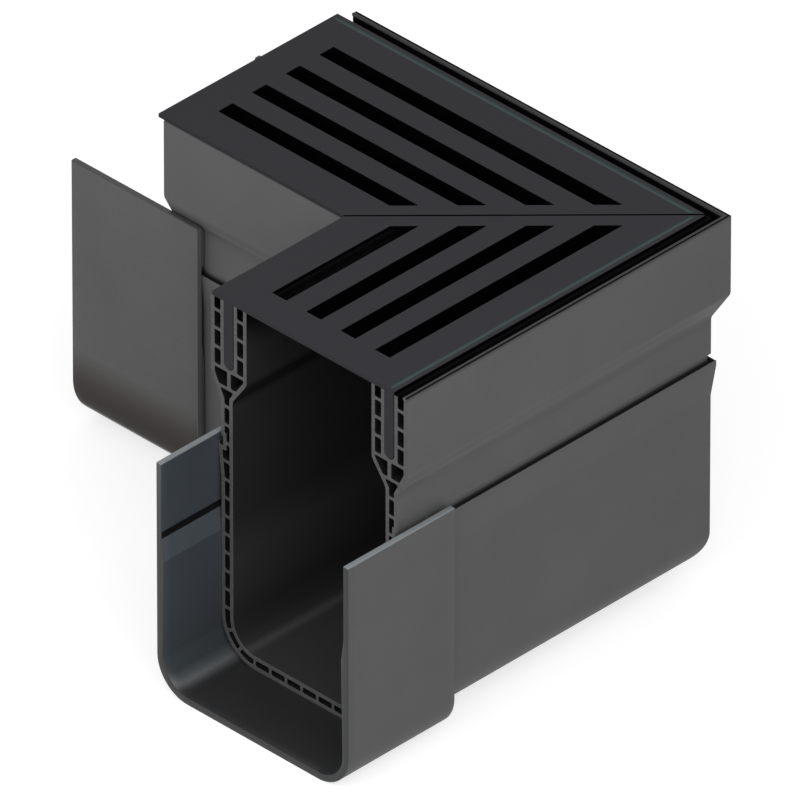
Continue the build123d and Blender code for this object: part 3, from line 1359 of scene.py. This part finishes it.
@dataclass
class Studio:
    """Floor, lamps, world and camera."""

    corner: Triple
    azimuth: float = 44.64
    elevation: float = 34.15
    scale: float = 2.138  # pixels per millimetre
    lens: float = 1500.0
    aim_pixel: tuple[float, float] = (366.83, 377.53)
    aim_point: Triple = (-130.0, -110.0, -100.0)
    clip: tuple[float, float] = (0.5, 60.0)
    floor_reach: float = 14.0
    world_level: float = 0.47
    lamp_distance: float = 2.0

    @staticmethod
    def towards(azimuth: float, elevation: float) -> Vector:
        """The direction from the part to a place round it.

        Args:
            azimuth: Degrees round the part.
            elevation: Degrees above the floor.

        Returns:
            The direction, one unit long.
        """
        a, e = math.radians(azimuth), math.radians(elevation)
        return Vector((math.sin(a) * math.cos(e), -math.cos(a) * math.cos(e), math.sin(e)))

    @staticmethod
    def stand(made: bpy.types.Object, place: Vector, back: Vector) -> None:
        """Put a camera or lamp in its place, facing against a direction.

        Args:
            made: The camera or lamp.
            place: Where it stands.
            back: The direction from what it faces to itself.
        """
        bpy.context.scene.collection.objects.link(made)
        made.location = place
        made.rotation_mode = "QUATERNION"
        made.rotation_quaternion = (-back).to_track_quat("-Z", "Y")

    def add_camera(self) -> None:
        """Add the camera that frames the part as the photograph does."""
        back = self.towards(self.azimuth, self.elevation)
        a = math.radians(self.azimuth)
        right = Vector((math.cos(a), math.sin(a), 0.0))
        up = back.cross(right)
        half, pixel = PICTURE / 2, MM / self.scale
        aim = Vector(self.corner) + Vector(self.aim_point) * MM
        aim += right * (half - self.aim_pixel[0]) * pixel
        aim -= up * (half - self.aim_pixel[1]) * pixel
        data = bpy.data.cameras.new("camera")
        data.lens, data.sensor_width = self.lens, SENSOR
        data.clip_start, data.clip_end = self.clip
        made = bpy.data.objects.new("camera", data)
        self.stand(made, aim + back * (PICTURE * self.lens / SENSOR * pixel), back)
        bpy.context.scene.camera = made

    def add_lamp(
        self, name: str, azimuth: float, elevation: float, size: float, power: float
    ) -> None:
        """Add a soft square lamp that faces the part.

        Args:
            name: The lamp's name.
            azimuth: Degrees round the part, as for the camera.
            elevation: Degrees above the floor.
            size: Side in metres.
            power: Watts.
        """
        back = self.towards(azimuth, elevation)
        data = bpy.data.lights.new(name, "AREA")
        data.shape, data.size, data.energy = "SQUARE", size, power
        aim = Vector((0.0, 0.0, 0.1))
        self.stand(bpy.data.objects.new(name, data), aim + back * self.lamp_distance, back)

    def add_floor(self) -> None:
        """Add the floor as a plain square."""
        grid = np.array([(-1, -1, 0), (1, -1, 0), (1, 1, 0), (-1, 1, 0)]) * self.floor_reach
        mesh = bpy.data.meshes.new("floor")
        mesh.from_pydata(grid.tolist(), [], [(0, 1, 2, 3)])
        mesh.materials.append(StudioFloor().make())
        floor = bpy.data.objects.new("floor", mesh)
        bpy.context.scene.collection.objects.link(floor)

    def add_world(self) -> None:
        """Add a plain world that shows white and lights the part less."""
        world = bpy.data.worlds.new("studio")
        bpy.context.scene.world = world
        world.use_nodes = True
        tree = world.node_tree
        tree.nodes.clear()
        level = add_node(
            tree,
            "ShaderNodeMapRange",
            {"Value": seen_directly(tree), "To Min": self.world_level, "To Max": 1.0},
        )
        sky = add_node(
            tree,
            "ShaderNodeBackground",
            {"Color": (1.0, 1.0, 1.0, 1.0), "Strength": level.outputs[0]},
        )
        add_node(tree, "ShaderNodeOutputWorld", {"Surface": sky.outputs[0]})

    def build(self) -> None:
        """Set up the floor, the world, the lamps and the camera."""
        bpy.context.scene.view_settings.view_transform = "Standard"
        self.add_floor()
        self.add_world()
        self.add_lamp("key", azimuth=62.0, elevation=42.0, size=1.3, power=13.4)
        self.add_lamp("fill", azimuth=2.0, elevation=32.0, size=1.3, power=11.6)
        self.add_camera()


# The part


def dress(piece: bpy.types.Object, node: str) -> None:
    """Ride a piece on the part, let it stand for its CAD node and report it.

    Args:
        piece: The finished piece.
        node: The CAD node.
    """
    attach(piece, "root")
    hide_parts(node)
    low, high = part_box(node)
    size = (high - low) / MM
    faces = len(piece.data.polygons)
    log.info("%s: %d faces, node %s is %.1f x %.1f x %.1f mm", piece.name, faces, node, *size)


def build_channels(seats: dict[Arm, Seat], lengths: dict[Arm, float]) -> None:
    """Build both channel lengths.

    Args:
        seats: Where each arm lies.
        lengths: How long each arm is along its outer side.
    """
    # The waterway carries painted light and shade: painted shade makes it darkest under the
    # plates and under the wall's taper, painted light makes it lighter towards the floor, and a
    # painted highlight lays a band of light along the floor's edge. Its dark tone is partly the
    # inner skin's own and partly painted shade.
    waterway = ExtrudedPvc(
        "co_extruded_pvc_inner_skin_with_painted_light_and_shade", "#323232", "#262626", 0.6, 0.2,
        heights=((12.5, "#383838"), (13.0, "#4e4e4e"), (14.6, "#303030"), (19.0, "#292929"),
                 (26.0, "#303030"), (40.0, "#383838"), (60.0, "#3b3b3b"), (82.0, ""),
                 (142.0, ""), (149.0, "#161616"), (157.0, "#121212"), (164.0, ""),
                 (180.0, ""), (197.0, "#060606"), (199.0, "#060606")),
    )
    # The groove carries painted light and shade: painted light at its top and painted shade, down
    # to black, at its foot
    groove = ExtrudedPvc(
        "pvc_rib_groove_painted_light_and_shade", "#525252", "#494949", 0.8, 0.1,
        heights=((121.8, "#1c1c1c"), (122.7, "#222222"), (123.8, "#484848"),
                 (125.0, "#676767"), (126.2, "#707070")),
    )
    shared = {
        ChannelFace.WATERWAY: waterway,
        # The chambers' walls are dark with painted shade
        ChannelFace.CHAMBER: ExtrudedPvc("pvc_chamber_wall_painted_shade", "#1c1c1c", "#151515", 0.8, 0.1),
        ChannelFace.SAWN: SawnPvc("sawn_pvc", "#595959", "#4b4b4b"),
        ChannelFace.RIM: ExtrudedPvc("pvc_rim_top", "#292929", "#242424"),
        # The gap round the plate is black with painted shade
        ChannelFace.GAP: ExtrudedPvc(
            "pvc_painted_shade_in_the_gap_round_the_plate", "#060606", "#040404", 0.9, 0.05
        ),
        ChannelFace.GROOVE: groove,
    }
    made = {face: finish.make() for face, finish in shared.items()}
    for arm, seat in seats.items():
        # The outside carries painted shade and a painted highlight in the band at the foot of the
        # wall's taper, and turns darker in the top 3 mm below the rim
        made[ChannelFace.OUTSIDE] = ExtrudedPvc(
            f"extruded_pvc_{arm.value}", "#5d5d5d", "#525252", run=arm,
            heights=((143.5, ""), (145.5, "#535353"), (147.5, "#525252"), (150.0, ""),
                     (152.5, "#606060"), (155.5, ""), (201.8, ""), (204.6, "#363636")),
        ).make()
        channel = ChannelLength(seat, lengths[arm]).build(
            f"channel_{arm.value}_profile", [made[face] for face in ChannelFace]
        )
        dress(channel, f"channel_{arm.value}")


def build_grates(seats: dict[Arm, Seat], lengths: dict[Arm, float]) -> None:
    """Build both grates.

    Args:
        seats: Where each arm lies.
        lengths: How long each grate is along the outer side of its arm.
    """
    finishes = {
        GrateFace.COAT: PowderCoat("anthracite_powder_coat", "#2f2e32", 0.65),
        # Near-black painted shade for the slots, edges, middle and legs
        GrateFace.SHADOW: PowderCoat("powder_coat_painted_shade_in_the_slots", "#050505", 0.9, 0.0),
        # The line's teal tone is a painted highlight
        GrateFace.LINE: PowderCoat("powder_coat_edge_line_painted_highlight", "#3c4a49", 0.4),
    }
    made = {face: finish.make() for face, finish in finishes.items()}
    for arm, seat in seats.items():
        grate = Grate(seat, lengths[arm]).build(
            f"grate_{arm.value}_plate", [made[face] for face in GrateFace]
        )
        dress(grate, f"grate_{arm.value}")


def front_sleeve_finishes() -> dict[SleeveFace, ExtrudedPvc]:
    """The front sleeve's finishes, with a painted highlight as a band of light round its inside
    corner, and painted shade on its end faces and on the inside's corner on the outer side.

    Returns:
        One finish for each face.
    """
    return {
        SleeveFace.OUTSIDE: ExtrudedPvc("moulded_pvc_outside", "#5c5c5c", "#515151"),
        # Painted highlight along the rounded corner just above the floor; the floor itself and
        # the band above the highlight are darker
        SleeveFace.INSIDE: ExtrudedPvc(
            "moulded_pvc_inside", "#50575e", "#474d53", 0.34, 0.4,
            heights=((5.0, "#2d2d2e"), (5.5, "#434545"), (6.6, "#5e6263"), (8.4, "#4b5052"),
                     (11.0, "#3c4246"), (18.0, "#464c51"), (60.0, "")),
        ),
        # The line is dark with painted shade and the ramp lighter with a painted highlight
        SleeveFace.LINE: ExtrudedPvc("moulded_pvc_line_painted_shade", "#15181a", "#101214", 0.8, 0.1),
        SleeveFace.TOP: ExtrudedPvc("moulded_pvc_top_edge", "#8b9093", "#82878a"),
        SleeveFace.RAMP: ExtrudedPvc("moulded_pvc_ramp_painted_highlight", "#5b6269", "#51585e", 0.4),
        # The end faces carry painted shade: darker towards the bottom, and darker still on the
        # outer wall's part of the mouth
        SleeveFace.END: ExtrudedPvc(
            "moulded_pvc_end", "#54585a", "#4c5052",
            heights=((10.0, "#3a3a3a"), (80.0, "#3e3f40"), (125.0, "")),
        ),
        # Painted shade: a darker copy of the inside for the floor corner on the outer side
        SleeveFace.INSIDE_PAINTED_SHADE: ExtrudedPvc(
            "moulded_pvc_inside_painted_shade", "#2f3031", "#292a2b", 0.6, 0.1
        ),
        SleeveFace.END_SHADED: ExtrudedPvc("moulded_pvc_end_shaded", "#393a3b", "#333435"),
    }


def side_sleeve_finishes() -> dict[SleeveFace, ExtrudedPvc]:
    """The side sleeve's finishes, with painted shade on an outside that darkens towards the
    ground, and painted light on its end faces.

    Returns:
        One finish for each face.
    """
    return {
        # Painted shade, darkening the outside towards the ground
        SleeveFace.OUTSIDE: ExtrudedPvc(
            "moulded_pvc_side_outside_painted_shade", "#696969", "#5e5e5e", shine=0.1, run=Arm.SIDE,
            heights=((6.0, "#1a1413"), (12.0, "#221d1b"), (20.0, "#332e2c"),
                     (32.0, "#4b4846"), (46.0, "")),
        ),
        SleeveFace.INSIDE: ExtrudedPvc("moulded_pvc_inside_side", "#33363a", "#2a2c30", 0.45),
        # The line is dark with painted shade and the ramp lighter with a painted highlight
        SleeveFace.LINE: ExtrudedPvc("moulded_pvc_side_line_painted_shade", "#15181a", "#101214", 0.8, 0.1),
        SleeveFace.TOP: ExtrudedPvc("moulded_pvc_top_edge_side", "#4a4a4a", "#434343"),
        SleeveFace.RAMP: ExtrudedPvc("moulded_pvc_side_ramp_painted_highlight", "#3c3f43", "#34373a", 0.45),
        # The end faces are lifted with painted light against the shade at the inner corner; the
        # mouth's outer part keeps the same tone
        SleeveFace.END: ExtrudedPvc("moulded_pvc_side_end_painted_light", "#6c6b6b", "#656464"),
        # Painted shade: a darker copy of the inside for the floor corner on the outer side
        SleeveFace.INSIDE_PAINTED_SHADE: ExtrudedPvc(
            "moulded_pvc_side_inside_painted_shade", "#2f3031", "#292a2b", 0.6, 0.1
        ),
        SleeveFace.END_SHADED: ExtrudedPvc("moulded_pvc_side_mouth_end_painted_light", "#6c6b6b", "#656464"),
    }


def build_sleeves(seats: dict[Arm, Seat]) -> None:
    """Build both sleeves.

    Args:
        seats: Where each arm lies.
    """
    front = CouplingSleeve(seats[Arm.FRONT], start=182.0, end=252.6, top=77.0, radius=20.0)
    side = CouplingSleeve(
        seats[Arm.SIDE], start=225.3, end=308.8, top=53.5, radius=27.1, railed=True
    )
    for arm, sleeve, finishes in (
        (Arm.FRONT, front, front_sleeve_finishes()),
        (Arm.SIDE, side, side_sleeve_finishes()),
    ):
        materials = [finishes[face].make() for face in SleeveFace]
        piece = sleeve.build(f"sleeve_{arm.value}_moulding", materials)
        dress(piece, f"sleeve_{arm.value}")


def main() -> None:
    """Build the corner, dress it and set up the studio."""
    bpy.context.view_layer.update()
    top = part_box("channel_front")[1]
    corner = (float(top.x), float(top.y), float(top.z))
    seats = {arm: Seat(corner, arm) for arm in Arm}
    build_channels(seats, {Arm.FRONT: 215.0, Arm.SIDE: 246.0})
    build_grates(seats, {Arm.FRONT: 215.0, Arm.SIDE: 250.0})
    build_sleeves(seats)
    Studio(corner).build()


if __name__ == "__main__":
    main()
